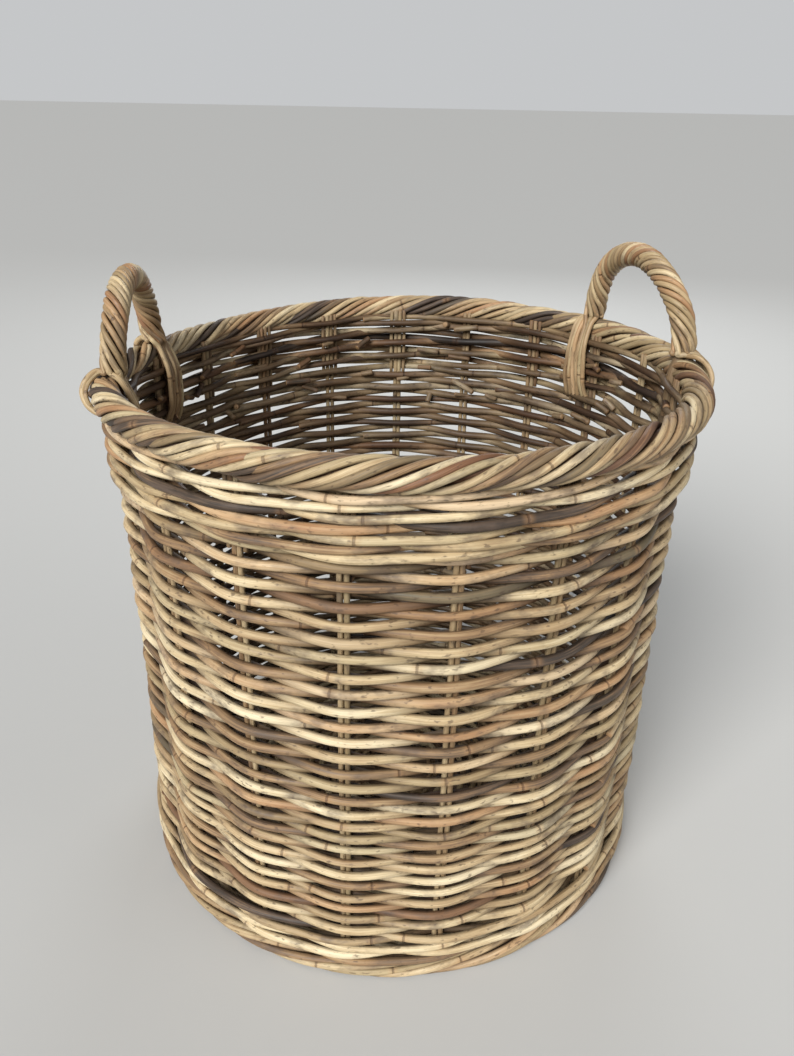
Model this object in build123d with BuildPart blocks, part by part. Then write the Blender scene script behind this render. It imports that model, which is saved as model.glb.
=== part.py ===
from build123d import *
import os
from math import asin, atan2, cos, degrees, radians, sin

os.makedirs("parts", exist_ok=True)

# Round wicker log basket, in millimetres.
# The origin is the centre of the underside, +Z is up, and the front is the -Y side.
# The two roped handles stand a little behind the +X and -X sides.

# ---- driving dimensions -------------------------------------------------------------------
STAKE_COUNT = 19                # an odd number lets one weaver spiral over and under
FIRST_STAKE = -50.0             # polar angle of stake 1, in degrees from +X
CANE_R = 2.15                   # one of the two canes that make a stake
CANE_PITCH = 4.5                # between the two canes of a pair
FIT = 0.25                      # clearance round a rod that passes through woven work

FOOT_R = 231.0                  # outside of the foot and upsett bands
WALL_R_LOW = 229.0              # outside of the woven wall at the floor
WALL_R_HIGH = 235.0             # outside of the woven wall at the border's height
WALL_T = 17.5                   # thickness of the woven wall, over both faces
TOP_WALE_PROUD = 4.0            # how far the top wale stands out from the wall

FOOT_TOP = 12.5                 # top of the foot band, which rests on the floor
UPSETT_TOP = 40.0               # top of the upsett band
WALE_BOTTOM = 378.0             # where the plain weave ends and the top wale begins
WALE_TOP = 423.5                # top of the top wale
COURSES = 7                     # bands of plain weave between the upsett and the top wale
COURSE_GAP = 0.3                # between one band and the next

BORDER_R = 236.0                # centre line of the rolled border
BORDER_ROPE_R = 12.0            # radius of the border's rope
BORDER_Z = 440.0

HANDLE_ANGLES = {"right": 10.5, "left": 169.5}  # polar angle of each handle's middle
HANDLE_HALF_SPAN = 71.0         # from a handle's middle to the centre of each leg
HANDLE_RISE = 66.0              # from the springing of the bow to its crown
HANDLE_SPRING_Z = 454.5         # the bow curves above this height
HANDLE_CORE_R = 4.5             # the bent cane inside the rope
HANDLE_ROPE_R = 10.3            # outside of the roped wrap
HANDLE_LEG_BOTTOM = 345.0       # how far the core's legs are pushed down into the wall
LASHING_T = 4.2                 # thickness of the rods lashed over the border
LASHING_HALF_ANGLE = 5.5        # half of the stretch of border that a lashing covers

BASE_Z = 15.0                   # mid height of the base
BASE_T = 14.0                   # thickness of the base weave
BASE_R = 199.0                  # outside of the base weave
BINDING_R = 52.0                # outside of the binding round the crossed sticks
BINDING_INNER_R = 33.0
STICK_ENDS_R = 196.0
SHORT_STICK_END_R = 150.0       # the one end that carries no stake is cut short
SPLIT_STICK_R = 4.5             # the sticks with a slit
PASSING_STICK_R = 3.1           # the sticks that pass through the slits
SLIT_HEIGHT = 6.4
SPLIT_PITCH = 9.3
PASSING_PITCH = 6.5
STICKS_PER_SET = 5
STICK_BEND_R = 25.0
STICK_SIDESTEP = 11.0           # a stick's end lies this far beside its stake
STAKE_INSERT_R = 169.0          # where a stake's lower leg ends inside the base
UPSETT_BEND_R = 14.0            # bend from the base up into the wall

# ---- worked out from the dimensions above -------------------------------------------------
STAKE_STEP = 360.0 / STAKE_COUNT
STAKE_R_LOW = FOOT_R - 2.0 - WALL_T / 2     # centre line of the stakes at the bend
STAKE_BEND_Z = BASE_Z + UPSETT_BEND_R
STAKE_TOP_Z = BORDER_Z - 2.0
COURSE_H = (WALE_BOTTOM - UPSETT_TOP) / COURSES


def wall_outer(z):
    """Outside radius of the plain woven wall at height z."""
    return WALL_R_LOW + (WALL_R_HIGH - WALL_R_LOW) * z / BORDER_Z


def wall_centre(z):
    """Radius of the stakes' centre line at height z."""
    return wall_outer(z) - WALL_T / 2


def polar(radius, angle, z=0.0, sidestep=0.0):
    """Point at a radius and polar angle, moved sideways along the tangent."""
    a = radians(angle)
    return Vector(radius * cos(a) - sidestep * sin(a), radius * sin(a) + sidestep * cos(a), z)


def stake_angle(number):
    return FIRST_STAKE + STAKE_STEP * number


def save(builder, name):
    """Label a finished piece and write it as its own STEP file."""
    builder.part.label = name
    export_step(builder.part, f"parts/{name}.step")


# ---- stakes: each is a pair of canes, laid in the base and bent up into the wall -----------
def stake_path(insert_r):
    """Centre line of a stake in the XZ plane: along the base, round the bend, up the wall."""
    slope = atan2(wall_centre(STAKE_TOP_Z) - STAKE_R_LOW, STAKE_TOP_Z - STAKE_BEND_Z)
    bend = (STAKE_R_LOW - UPSETT_BEND_R, STAKE_BEND_Z)
    bend_end = (bend[0] + UPSETT_BEND_R * cos(slope), bend[1] - UPSETT_BEND_R * sin(slope))
    with BuildLine(Plane.XZ) as path:
        leg = Line((insert_r, BASE_Z), (bend[0], BASE_Z))
        elbow = RadiusArc(leg @ 1, bend_end, -UPSETT_BEND_R)
        Line(elbow @ 1, (wall_centre(STAKE_TOP_Z), STAKE_TOP_Z))
    return path


with BuildPart() as stake_pair:
    stake_line = stake_path(STAKE_INSERT_R)
    with BuildSketch(Plane(stake_line.line @ 0, x_dir=(0, 1, 0), z_dir=(1, 0, 0))):
        with GridLocations(CANE_PITCH, 1, 2, 1):
            Circle(CANE_R)
    sweep(path=stake_line.line)

# the room that a stake takes inside woven work, a slot round both canes
with BuildPart() as stake_room:
    room_line = stake_path(STAKE_INSERT_R - 1.5)
    with BuildSketch(Plane(room_line.line @ 0, x_dir=(0, 1, 0), z_dir=(1, 0, 0))):
        SlotOverall(CANE_PITCH + 2 * (CANE_R + FIT), 2 * (CANE_R + FIT))
    sweep(path=room_line.line)

stake_rooms = [
    stake_room.part.rotate(Axis.Z, stake_angle(number)) for number in range(STAKE_COUNT)
]

for number in range(STAKE_COUNT):
    with BuildPart() as stake:
        add(stake_pair.part.rotate(Axis.Z, stake_angle(number)))
    save(stake, f"stake_{number + 1:02d}")


# ---- base sticks: five slit sticks along X, five that pass through them along Y ------------
def stick_end(order):
    """Where a base stick's end lies: beside the stake of the same order, or the short end."""
    if order < STAKE_COUNT:
        return polar(STICK_ENDS_R, stake_angle(order), BASE_Z, STICK_SIDESTEP)
    return polar(SHORT_STICK_END_R, stake_angle(STAKE_COUNT - 0.5), BASE_Z)


def stick_solid(index, split, grow=0.0):
    """One base stick: straight through the cross, then bent towards its two ends."""
    middle = (STICKS_PER_SET - 1) / 2
    if split:
        offset = (index - middle) * SPLIT_PITCH
        straight = STICKS_PER_SET * PASSING_PITCH / 2 + 7
        bends = [Vector(straight, offset, BASE_Z), Vector(-straight, offset, BASE_Z)]
        ends = [stick_end(index), stick_end(14 - index)]
        radius = SPLIT_STICK_R + grow
    else:
        offset = (index - middle) * PASSING_PITCH
        straight = STICKS_PER_SET * SPLIT_PITCH / 2 + 7
        bends = [Vector(offset, straight, BASE_Z), Vector(offset, -straight, BASE_Z)]
        ends = [stick_end(9 - index), stick_end(15 + index)]
        radius = PASSING_STICK_R + grow
    with BuildPart() as stick:
        with BuildLine() as path:
            FilletPolyline(ends[0], bends[0], bends[1], ends[1], radius=STICK_BEND_R)
        with BuildSketch(Plane(path.line @ 0, z_dir=path.line % 0)):
            Circle(radius)
        sweep(path=path.line)
        if split and not grow:
            with BuildSketch(Plane.XZ) as slit:
                with Locations((0, BASE_Z)):
                    Rectangle(STICKS_PER_SET * PASSING_PITCH + 0.6, SLIT_HEIGHT)
            extrude(amount=BINDING_R, both=True, mode=Mode.SUBTRACT)
    return stick


stick_rooms = []
for set_number, split in enumerate((True, False)):
    for index in range(STICKS_PER_SET):
        save(stick_solid(index, split), f"base_stick_{set_number * STICKS_PER_SET + index + 1:02d}")
        stick_rooms.append(stick_solid(index, split, FIT).part)


# ---- woven bands: closed rings with the outline of the weave -------------------------------
def ring(points, rooms, rounding=0.0):
    """Revolve an outline of (radius, height) points, then leave room for what passes through."""
    with BuildPart() as band:
        with BuildSketch(Plane.XZ) as outline:
            with BuildLine():
                Polyline(points, close=True)
            make_face()
            if rounding:
                fillet(outline.vertices().sort_by(Axis.X)[-2:], rounding)
        revolve(axis=Axis.Z)
        for room in rooms:
            add(room, mode=Mode.SUBTRACT)
    return band


def disc_points(inner, outer, low, high):
    return [(inner, low), (outer, low), (outer, high), (inner, high)]


base_low = BASE_Z - BASE_T / 2
base_high = BASE_Z + BASE_T / 2
save(ring(disc_points(BINDING_INNER_R, BINDING_R, base_low, base_high), stick_rooms), "base_binding")
save(
    ring(disc_points(BINDING_R + COURSE_GAP, BASE_R, base_low, base_high), stick_rooms + stake_rooms),
    "base_weave",
)

foot_inner = FOOT_R - WALL_T - 5
save(ring(disc_points(foot_inner, FOOT_R, 0, FOOT_TOP), [], 5.0), "foot_band")

upsett_inner = BASE_R + COURSE_GAP
upsett_points = [
    (upsett_inner, FOOT_TOP + COURSE_GAP),
    (FOOT_R, FOOT_TOP + COURSE_GAP),
    (FOOT_R, UPSETT_TOP),
    (wall_centre(UPSETT_TOP) - WALL_T / 2, UPSETT_TOP),
    (wall_centre(UPSETT_TOP) - WALL_T / 2, base_high + 8),
    (upsett_inner, base_high),
]
save(ring(upsett_points, stake_rooms), "upsett_band")


# ---- handle cores: a bent cane whose legs run down inside the wall -------------------------
def handle_plane(angle, z):
    """Upright plane of a handle, facing outwards, at the wall's centre line."""
    chord_r = (wall_centre(BORDER_Z) ** 2 - HANDLE_HALF_SPAN ** 2) ** 0.5
    return Plane(polar(chord_r, angle, z), x_dir=polar(1, angle + 90), z_dir=polar(1, angle))


def bow_solid(angle, radius, bottom):
    """A round bar bent to the bow's shape, from a height on one leg to the same on the other."""
    plane = handle_plane(angle, 0)
    with BuildPart() as bow:
        with BuildLine(plane) as path:
            rise = Line((HANDLE_HALF_SPAN, bottom), (HANDLE_HALF_SPAN, HANDLE_SPRING_Z))
            EllipticalCenterArc(
                (0, HANDLE_SPRING_Z), HANDLE_HALF_SPAN, HANDLE_RISE, start_angle=0, arc_size=180
            )
            Line((-HANDLE_HALF_SPAN, HANDLE_SPRING_Z), (-HANDLE_HALF_SPAN, bottom))
        with BuildSketch(Plane(rise @ 0, z_dir=rise % 0)):
            Circle(radius)
        sweep(path=path.line)
    return bow


leg_rooms = []
for side, angle in HANDLE_ANGLES.items():
    save(bow_solid(angle, HANDLE_CORE_R, HANDLE_LEG_BOTTOM), f"{side}_handle_core")
    for across in (-HANDLE_HALF_SPAN, HANDLE_HALF_SPAN):
        foot = handle_plane(angle, HANDLE_LEG_BOTTOM - 1).from_local_coords((across, 0, 0))
        with BuildPart() as leg_room:
            with BuildSketch(Plane(foot, x_dir=polar(1, angle), z_dir=(0, 0, 1))):
                Rectangle(2 * (HANDLE_CORE_R + FIT), 2 * (HANDLE_CORE_R + FIT))
            extrude(amount=HANDLE_SPRING_Z + LASHING_T - foot.Z)
        leg_rooms.append(leg_room.part)

# ---- plain weave and top wale --------------------------------------------------------------
for course in range(COURSES):
    low = UPSETT_TOP + COURSE_H * course + COURSE_GAP
    high = UPSETT_TOP + COURSE_H * (course + 1)
    points = [
        (wall_outer(low) - WALL_T, low),
        (wall_outer(low), low),
        (wall_outer(high), high),
        (wall_outer(high) - WALL_T, high),
    ]
    rooms = stake_rooms + (leg_rooms if high > HANDLE_LEG_BOTTOM else [])
    save(ring(points, rooms), f"weave_course_{course + 1}")

wale_points = [
    (wall_outer(WALE_BOTTOM) - WALL_T, WALE_BOTTOM + COURSE_GAP),
    (wall_outer(WALE_BOTTOM) + TOP_WALE_PROUD / 2, WALE_BOTTOM + COURSE_GAP),
    (wall_outer(WALE_TOP) + TOP_WALE_PROUD, WALE_TOP),
    (wall_outer(WALE_TOP) - WALL_T, WALE_TOP),
]
save(ring(wale_points, stake_rooms + leg_rooms), "top_wale")


# ---- rolled border -------------------------------------------------------------------------
def border_tube(radius, arc=360.0, start=0.0):
    """Round tube that follows the border's centre line."""
    section = Plane(polar(BORDER_R, start, BORDER_Z), x_dir=polar(1, start), z_dir=polar(1, start - 90))
    with BuildPart() as tube:
        with BuildSketch(section):
            Circle(radius)
        revolve(axis=Axis.Z, revolution_arc=arc)
    return tube


with BuildPart() as border:
    add(border_tube(BORDER_ROPE_R).part)
    for room in stake_rooms + leg_rooms:
        add(room, mode=Mode.SUBTRACT)
save(border, "rolled_border")

# ---- handle wraps and lashings -------------------------------------------------------------
leg_half_angle = degrees(asin(HANDLE_HALF_SPAN / wall_centre(BORDER_Z)))
WRAP_BOTTOM = BORDER_Z + 2.0
for side, angle in HANDLE_ANGLES.items():
    with BuildPart() as wrap:
        add(bow_solid(angle, HANDLE_ROPE_R, WRAP_BOTTOM).part)
        add(bow_solid(angle, HANDLE_CORE_R + FIT, WRAP_BOTTOM - 1).part, mode=Mode.SUBTRACT)
        add(border_tube(BORDER_ROPE_R + LASHING_T + FIT).part, mode=Mode.SUBTRACT)
    save(wrap, f"{side}_handle_wrap")

    for end, turn in (("front", -1), ("rear", 1)):
        if side == "left":
            turn = -turn
        start = angle + turn * leg_half_angle - LASHING_HALF_ANGLE
        with BuildPart() as lashing:
            add(border_tube(BORDER_ROPE_R + LASHING_T, 2 * LASHING_HALF_ANGLE, start).part)
            add(border_tube(BORDER_ROPE_R + FIT).part, mode=Mode.SUBTRACT)
            for room in stake_rooms + leg_rooms:
                add(room, mode=Mode.SUBTRACT)
        save(lashing, f"{side}_handle_{end}_lashing")
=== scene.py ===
"""Round wicker log basket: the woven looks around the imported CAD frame, in metres."""
from math import asin, atan2, ceil, cos, floor, hypot, pi, radians, sin, tan

import bpy
import numpy as np
from mathutils import Matrix, Vector


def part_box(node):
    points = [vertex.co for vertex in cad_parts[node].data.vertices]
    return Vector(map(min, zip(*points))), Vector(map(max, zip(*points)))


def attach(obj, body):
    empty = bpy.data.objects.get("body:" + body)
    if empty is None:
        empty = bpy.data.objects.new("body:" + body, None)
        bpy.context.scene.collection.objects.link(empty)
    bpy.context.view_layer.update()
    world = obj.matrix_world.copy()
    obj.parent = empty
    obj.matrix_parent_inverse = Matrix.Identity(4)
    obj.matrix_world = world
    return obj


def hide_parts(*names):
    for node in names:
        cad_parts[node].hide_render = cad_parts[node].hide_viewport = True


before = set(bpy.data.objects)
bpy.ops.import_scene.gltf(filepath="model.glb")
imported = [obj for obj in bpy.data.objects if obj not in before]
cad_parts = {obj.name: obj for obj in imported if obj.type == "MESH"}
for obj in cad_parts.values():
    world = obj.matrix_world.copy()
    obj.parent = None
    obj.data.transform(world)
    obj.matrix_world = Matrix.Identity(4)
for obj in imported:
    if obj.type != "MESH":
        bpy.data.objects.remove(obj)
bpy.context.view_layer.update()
MM = 0.001

# ---- what the frame says -------------------------------------------------------------------
COURSES = sum(name.startswith("weave_course_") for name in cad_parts)
STAKES = sum(name.startswith("stake_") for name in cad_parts)
BOXES = {name: [np.array(corner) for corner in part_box(name)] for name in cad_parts}


def low(node):
    return BOXES[node][0]


def high(node):
    return BOXES[node][1]


BORDER_ROPE_R = (high("rolled_border")[2] - low("rolled_border")[2]) / 2
BORDER_R = high("rolled_border")[0] - BORDER_ROPE_R
BORDER_Z = low("rolled_border")[2] + BORDER_ROPE_R
FOOT_R = high("foot_band")[0]
FOOT_TOP = high("foot_band")[2]
UPSETT_LOW, UPSETT_TOP = low("upsett_band")[2], high("upsett_band")[2]
WALE_LOW, WALE_TOP = low("top_wale")[2], high("top_wale")[2]
WALE_R = high("top_wale")[0]
BASE_LOW, BASE_TOP = low("base_weave")[2], high("base_weave")[2]
BASE_R = high("base_weave")[0]
BASE_Z = (BASE_LOW + BASE_TOP) / 2
STEP = 2 * pi / STAKES


def node_angle(node):
    """Polar angle of the middle of a node, seen from above."""
    lo, hi = BOXES[node]
    return atan2((lo[1] + hi[1]) / 2, (lo[0] + hi[0]) / 2)


FIRST_STAKE = node_angle("stake_01")

# ---- sizes of the rods ---------------------------------------------------------------------
ROD_R = 3.2 * MM                # a weaver
CANE_R = 2.15 * MM              # one cane of a stake
CANE_PITCH = 4.5 * MM           # from one cane of a pair to the other
WALL_T = 17.5 * MM              # the wall's thickness over its rods
UPSETT_BEND_R = 14 * MM         # the stakes bend up out of the base on this radius
ROWS_LOW, ROWS_HIGH = 8, 7      # rows of plain weave in a low course and in a high one
LOW_COURSES = 3                 # courses that hold the tighter rows
HIGH_ROD_SHARE = 1.13           # the rods above them are thicker by this
RAND_REACH = 5.3 * MM           # plain weave: from the stakes' line to the middle of a rod
PROUD_REACH = 5.4 * MM          # a rod this far out of the stakes' line is worn, and gets neither painted shade nor dust

FIRST_COURSE, LAST_COURSE = high("weave_course_1"), high(f"weave_course_{COURSES}")


def wall_outer(z):
    """Outside radius of the plain weave at height z, from the first and last course."""
    share = (z - FIRST_COURSE[2]) / (LAST_COURSE[2] - FIRST_COURSE[2])
    return FIRST_COURSE[0] + (LAST_COURSE[0] - FIRST_COURSE[0]) * share


def stake_radius(z):
    """Radius of the stakes' centre line at height z, round the bend at the bottom."""
    straight = wall_outer(z) - WALL_T / 2
    below = BASE_Z + UPSETT_BEND_R - z
    if below <= 0:
        return straight
    bend = max(UPSETT_BEND_R ** 2 - below ** 2, 0) ** 0.5
    return straight - UPSETT_BEND_R + bend


# ---- the unevenness of handwork --------------------------------------------------------------
OVAL = 0.018                    # the rim is this much longer front to back, and narrower across
DIP = 14 * MM                   # the rim sinks most at the back left
DIP_ANGLE, DIP_SPREAD = radians(145), radians(50)
THREE_LOBES, FIVE_LOBES = 0.0035, 0.0022    # how far from round, as shares of the radius
SWAY = 0.003                    # how far the wall goes in and out on its way up


def handmade(points):
    """Moves ideal points to where a hand-woven basket has them."""
    x, y, z = points[:, 0], points[:, 1], points[:, 2]
    up = np.clip(z / BORDER_Z, 0, 1.25)
    angle = np.arctan2(y, x)
    turn = (angle - DIP_ANGLE + pi) % (2 * pi) - pi
    lump = THREE_LOBES * np.sin(3 * angle + 1.1 + 2.0 * up) + FIVE_LOBES * np.sin(5 * angle - 0.7)
    lump = lump * np.clip(up, 0.15, 1) + SWAY * np.sin(2 * pi * up * 1.3 + 2 * angle) * (up > 0)
    out = np.empty_like(points)
    out[:, 0] = x * (1 - OVAL * up + lump)
    out[:, 1] = y * (1 + OVAL * up + lump)
    out[:, 2] = z - DIP * np.exp(-((turn / DIP_SPREAD) ** 2)) * np.clip(up, 0, 1) ** 2
    return out


# ---- rods as meshes --------------------------------------------------------------------------
def unit(vectors):
    return vectors / np.maximum(np.linalg.norm(vectors, axis=-1, keepdims=True), 1e-12)


def through(knots, per_span):
    """A smooth curve through its knots (Catmull-Rom), with per_span points in each span."""
    knots = np.asarray(knots, float)
    padded = np.vstack([2 * knots[0] - knots[1], knots, 2 * knots[-1] - knots[-2]])
    t = (np.arange(per_span) / per_span)[None, :, None]
    a, b, c, d = (padded[i:len(padded) - 3 + i][:, None, :] for i in range(4))
    curve = 0.5 * (
        2 * b + (c - a) * t
        + (2 * a - 5 * b + 4 * c - d) * t ** 2
        + (3 * b - a - 3 * c + d) * t ** 3
    )
    return np.vstack([curve.reshape(-1, knots.shape[1]), knots[-1:]])


def wander(rng, along, wavelength, size, waves=4):
    """A slow random wave along a length, made of a few sines."""
    total = np.zeros_like(along)
    for _ in range(waves):
        stretch = wavelength * rng.uniform(0.6, 1.9)
        total += np.sin(2 * pi * along / stretch + rng.uniform(0, 2 * pi))
    return total * size / waves ** 0.5


def carried_normals(tangents, first):
    """A normal carried along a curve without twisting."""
    normals = np.empty_like(tangents)
    normal = first
    for i, tangent in enumerate(tangents):
        normal = normal - tangent * (normal @ tangent)
        normal = normal / max(np.linalg.norm(normal), 1e-9)
        normals[i] = normal
    return normals


DIRTY_END = 9 * MM              # a cut end is dirty over this length
END_WIDTH, END_BEVEL, END_CROWN = 0.78, 0.16, 0.2   # a cut end, in shares of the rod's radius


class Rods:
    """Collects round rods into one mesh, with the attributes that the rattan material reads:
    grain is a place in the wood, rod is three numbers that are the rod's own, and place says how
    proud a point stands, how near it is to a cut end, and whether it is pith.
    """

    def __init__(self, seed):
        self.rng = np.random.default_rng(seed)
        self.points, self.firsts, self.quads, self.tris = [], [], [], []
        self.grain, self.rod, self.place = [], [], []
        self.count = 0

    def add(self, path, radius, proud, tone, sides=10, up=None, flat=1.0, cut_ends=True,
            crevice=None):
        """One rod along a path.

        proud is 1 where the rod stands out and hands and logs rub it, and 0 deep in the weave, where
        the material paints shade and dust. tone goes from dark to pale. up is a direction across the
        rod, and flat squeezes it that way. The last argument says how the rod lies, and so which side
        of it gets painted shade.
        """
        path = np.asarray(path, float)
        n = len(path)
        radius = np.broadcast_to(np.asarray(radius, float), (n,)).copy()
        steps = np.linalg.norm(np.diff(path, axis=0), axis=1)
        along = np.concatenate([[0], np.cumsum(steps)])
        tangent = unit(np.gradient(path, axis=0))
        if up is None:
            guess = np.array([0, 0, 1.0]) if abs(tangent[0, 2]) < 0.8 else np.array([1.0, 0, 0])
            normal = carried_normals(tangent, guess)
        else:
            up = np.broadcast_to(np.asarray(up, float), (n, 3))
            normal = unit(up - tangent * (up * tangent).sum(1, keepdims=True))
        side = np.cross(tangent, normal)
        radius *= 1 + wander(self.rng, along, 0.09, 0.025)
        turn = 2 * pi * np.arange(sides) / sides
        ring = (
            np.cos(turn)[None, :, None] * normal[:, None, :] * flat
            + np.sin(turn)[None, :, None] * side[:, None, :]
        )
        body = path[:, None, :] + radius[:, None, None] * ring
        offset = self.rng.uniform(0, 40)
        round_it = np.stack([np.cos(turn), np.sin(turn)], -1) * ROD_R
        grain = np.empty((n, sides, 3))
        grain[..., :2] = round_it[None] + offset
        grain[..., 2] = along[:, None] + offset
        rod = (tone, self.rng.uniform(0, 1), self.rng.uniform(0, 1))
        near_end = np.zeros(n)
        if cut_ends:
            near_end = np.clip(1 - np.minimum(along, along[-1] - along) / DIRTY_END, 0, 1)
        # painted shade: a strand is darker on its side that faces into its rope, and a wall rod on its
        # side that faces into the basket
        unshaded = np.ones(sides)
        if crevice == "rope":       # up points away from the middle of the rope
            unshaded = 0.1 + 0.9 * np.clip((np.cos(turn) + 0.25) / 0.95, 0, 1)
        if crevice == "wall":       # the rod's side at a quarter turn faces out of the basket
            outer = np.clip((np.sin(turn) + 0.1) / 0.6, 0, 1)
            unshaded = np.where(np.sin(turn) > -0.1, 0.3 + 0.7 * outer, 0.5)
        place = np.zeros((n, sides, 3))
        place[..., 0] = np.broadcast_to(proud, (n,))[:, None] * unshaded[None, :]
        place[..., 1] = near_end[:, None]
        first = self.count
        rows = first + np.arange(n - 1)[:, None] * sides
        here = np.arange(sides)[None, :]
        there = (here + 1) % sides
        quads = np.stack([rows + here, rows + there, rows + sides + there, rows + sides + here], -1)
        self._store(body.reshape(-1, 3), grain.reshape(-1, 3), rod, place.reshape(-1, 3))
        self.quads.append(quads.reshape(-1, 4))
        for row, outward in ((0, -tangent[0]), (n - 1, tangent[-1])):
            start = first + row * sides
            self._cap(start, sides, path[row], outward, radius[row], grain[row], rod, flip=row == 0)

    def _cap(self, start, sides, centre, outward, radius, grain, rod, flip):
        """A cut end: a small bevel and a flat of pith."""
        rim = self._stored(start, sides)
        inner = centre + (rim - centre) * END_WIDTH + outward * radius * END_BEVEL
        points = np.vstack([inner, centre + outward * radius * END_CROWN])
        first = self.count
        cut = np.tile([0.5, 1.0, 1.0], (sides + 1, 1))
        self._store(points, np.vstack([grain, grain[:1]]), rod, cut)
        here = np.arange(sides)
        there = (here + 1) % sides
        bevel = np.stack([start + here, start + there, first + there, first + here], -1)
        fan = np.stack([first + here, first + there, np.full(sides, first + sides)], -1)
        if flip:
            bevel, fan = bevel[:, ::-1], fan[:, ::-1]
        self.quads.append(bevel)
        self.tris.append(fan)

    def _stored(self, start, sides):
        """One ring of points of the rod that was stored last, by their number in the mesh."""
        for first, block in zip(reversed(self.firsts), reversed(self.points)):
            if start >= first:
                return block[start - first:start - first + sides]

    def _store(self, points, grain, rod, place):
        self.firsts.append(self.count)
        self.points.append(points)
        self.grain.append(grain)
        self.rod.append(np.tile(rod, (len(points), 1)))
        self.place.append(place)
        self.count += len(points)

    def piece(self, name, material, slot, *nodes):
        """Makes the Blender object, lets it ride on the basket and stand for its CAD nodes."""
        points = handmade(np.concatenate(self.points))
        quads = np.concatenate(self.quads)
        tris = np.concatenate(self.tris)
        mesh = bpy.data.meshes.new(name)
        mesh.vertices.add(len(points))
        mesh.vertices.foreach_set("co", points.astype(np.float32).ravel())
        corners = np.concatenate([quads.ravel(), tris.ravel()]).astype(np.int32)
        sizes = np.concatenate([np.full(len(quads), 4), np.full(len(tris), 3)]).astype(np.int32)
        starts = np.concatenate([[0], np.cumsum(sizes)[:-1]]).astype(np.int32)
        mesh.loops.add(len(corners))
        mesh.loops.foreach_set("vertex_index", corners)
        mesh.polygons.add(len(sizes))
        mesh.polygons.foreach_set("loop_start", starts)
        mesh.polygons.foreach_set("loop_total", sizes)
        mesh.polygons.foreach_set("use_smooth", np.ones(len(sizes), bool))
        for label, rows in (("grain", self.grain), ("rod", self.rod), ("place", self.place)):
            layer = mesh.attributes.new(label, "FLOAT_VECTOR", "POINT")
            layer.data.foreach_set("vector", np.concatenate(rows).astype(np.float32).ravel())
        mesh.update(calc_edges=True)
        mesh.validate()
        mesh.materials.append(material)
        made = bpy.data.objects.new(name, mesh)
        bpy.context.scene.collection.objects.link(made)
        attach(made, "root")
        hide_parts(*nodes)


# ---- material --------------------------------------------------------------------------------
def linear(*srgb):
    """An sRGB colour of 0 to 255 as linear RGBA."""
    shares = [value / 255 for value in srgb]
    rgb = [v / 12.92 if v <= 0.04045 else ((v + 0.055) / 1.055) ** 2.4 for v in shares]
    return (*rgb, 1.0)


class Nodes:
    """A short way to write a material's nodes."""

    def __init__(self, name):
        self.material = bpy.data.materials.new(name)
        self.material.use_nodes = True
        self.tree = self.material.node_tree
        self.shader = next(n for n in self.tree.nodes if n.type == "BSDF_PRINCIPLED")

    def make(self, kind, inputs, **settings):
        node = self.tree.nodes.new(kind)
        for key, value in settings.items():
            setattr(node, key, value)
        for key, value in inputs.items():
            self.set(node.inputs[key], value)
        return node

    def set(self, socket, value):
        if isinstance(value, bpy.types.NodeSocket):
            self.tree.links.new(value, socket)
        else:
            socket.default_value = value

    def math(self, operation, *values, clamp=False):
        node = self.make("ShaderNodeMath", {}, operation=operation, use_clamp=clamp)
        for socket, value in zip(node.inputs, values):
            self.set(socket, value)
        return node.outputs[0]

    def remap(self, value, low, high, to_low=0.0, to_high=1.0):
        node = self.make("ShaderNodeMapRange", {}, interpolation_type="SMOOTHSTEP")
        for socket, given in zip(node.inputs, (value, low, high, to_low, to_high)):
            self.set(socket, given)
        return node.outputs[0]

    def mix(self, factor, a, b, blend="MIX"):
        node = self.make("ShaderNodeMix", {}, data_type="RGBA", blend_type=blend)
        self.set(node.inputs[0], factor)
        self.set(node.inputs[6], a)
        self.set(node.inputs[7], b)
        return node.outputs[2]

    def noise(self, grain, across, along, detail, roughness):
        """Noise with so many cells to the metre across a rod, and so many along it."""
        cells = self.scaled(grain, across, across, along)
        inputs = {"Vector": cells, "Scale": 1.0, "Detail": detail, "Roughness": roughness}
        return self.make("ShaderNodeTexNoise", inputs).outputs["Fac"]

    def ramp(self, value, stops):
        node = self.make("ShaderNodeValToRGB", {"Fac": value})
        band = node.color_ramp
        while len(band.elements) < len(stops):
            band.elements.new(0.5)
        for element, (position, colour) in zip(band.elements, stops):
            element.position = position
            element.color = colour
        return node.outputs["Color"]

    def attribute(self, name):
        return self.make("ShaderNodeAttribute", {}, attribute_name=name).outputs["Vector"]

    def split(self, vector):
        return self.make("ShaderNodeSeparateXYZ", {"Vector": vector}).outputs

    def scaled(self, vector, x, y, z):
        node = self.make("ShaderNodeVectorMath", {0: vector, 1: (x, y, z)}, operation="MULTIPLY")
        return node.outputs[0]


RATTAN = (
    (0.00, linear(58, 50, 44)),
    (0.10, linear(90, 76, 64)),
    (0.22, linear(124, 100, 76)),
    (0.36, linear(154, 124, 90)),
    (0.50, linear(174, 148, 112)),
    (0.66, linear(194, 171, 132)),
    (0.83, linear(213, 193, 154)),
    (1.00, linear(229, 213, 178)),
)


ORANGE, OLIVE, UMBER = linear(178, 118, 76), linear(146, 134, 100), linear(108, 82, 58)
NODE_BAND, NODE_RING = linear(176, 134, 92), linear(70, 46, 32)
# the last colour on the next line is painted shade and dust, for deep in the weave
SPECK, STAIN, CREVICE_SHADE = linear(74, 56, 44), linear(92, 77, 66), linear(84, 60, 42)
END_DIRT, PITH = linear(104, 74, 52), linear(150, 116, 80)
RING_WAVE = 0.0012              # a node's ring is uneven by this, in metres
BUMP_DEPTH = 0.0006             # the skin's relief, in metres


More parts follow.
